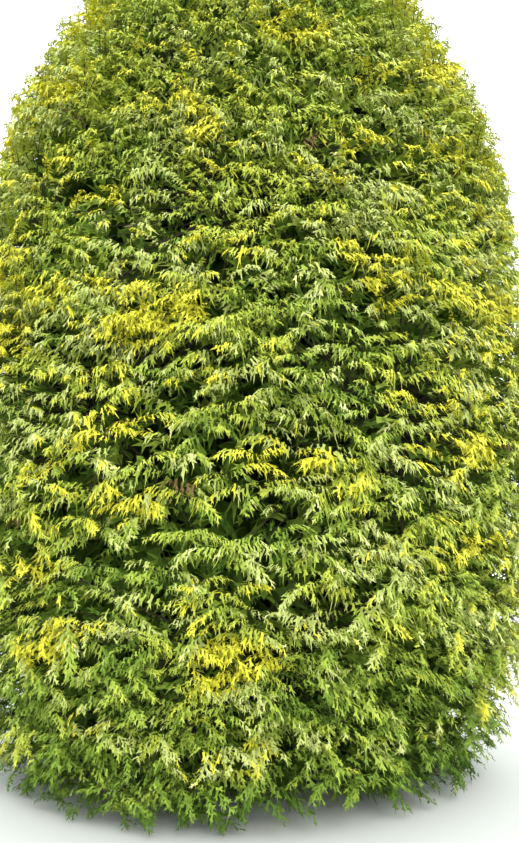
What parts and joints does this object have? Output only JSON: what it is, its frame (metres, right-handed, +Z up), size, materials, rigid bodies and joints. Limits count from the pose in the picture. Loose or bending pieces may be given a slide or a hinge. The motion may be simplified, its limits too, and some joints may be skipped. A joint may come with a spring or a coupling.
{
  "type": "golden cypress tree",
  "caption": "Whole evergreen conifer with a dense, broad egg-shaped crown of drooping golden-green sprays, leafy to the ground round one tapering trunk.",
  "frame": {"origin": "centre of the flat cut under the trunk, at ground level", "axes": "+Z up the tree; the side shown in the picture faces -Y; +X is to the right in that view"},
  "size_m": [5.3568, 5.3281, 8.1805],
  "materials": {
    "bark": "fibrous red-brown bark, matt",
    "foliage": "flat sprays of scale leaves, gold at the tips and green inside"
  },
  "bodies": {
    "root": {"trunk": "bark", "bough_lower_1": "bark", "bough_lower_2": "bark", "bough_lower_3": "bark", "bough_lower_4": "bark", "bough_lower_5": "bark", "bough_lower_6": "bark", "bough_middle_1": "bark", "bough_middle_2": "bark", "bough_middle_3": "bark", "bough_middle_4": "bark", "bough_middle_5": "bark", "bough_middle_6": "bark", "bough_skirt_1": "bark", "bough_skirt_2": "bark", "bough_skirt_3": "bark", "bough_skirt_4": "bark", "bough_skirt_5": "bark", "bough_skirt_6": "bark", "bough_upper_1": "bark", "bough_upper_2": "bark", "bough_upper_3": "bark", "bough_upper_4": "bark", "bough_upper_5": "bark", "foliage_leader": "foliage", "foliage_lower_1": "foliage", "foliage_lower_2": "foliage", "foliage_lower_3": "foliage", "foliage_lower_4": "foliage", "foliage_lower_5": "foliage", "foliage_lower_6": "foliage", "foliage_middle_1": "foliage", "foliage_middle_2": "foliage", "foliage_middle_3": "foliage", "foliage_middle_4": "foliage", "foliage_middle_5": "foliage", "foliage_middle_6": "foliage", "foliage_skirt_1": "foliage", "foliage_skirt_2": "foliage", "foliage_skirt_3": "foliage", "foliage_skirt_4": "foliage", "foliage_skirt_5": "foliage", "foliage_skirt_6": "foliage", "foliage_top_1": "foliage", "foliage_top_2": "foliage", "foliage_top_3": "foliage", "foliage_upper_1": "foliage", "foliage_upper_2": "foliage", "foliage_upper_3": "foliage", "foliage_upper_4": "foliage", "foliage_upper_5": "foliage"}
  },
  "joints": []
}
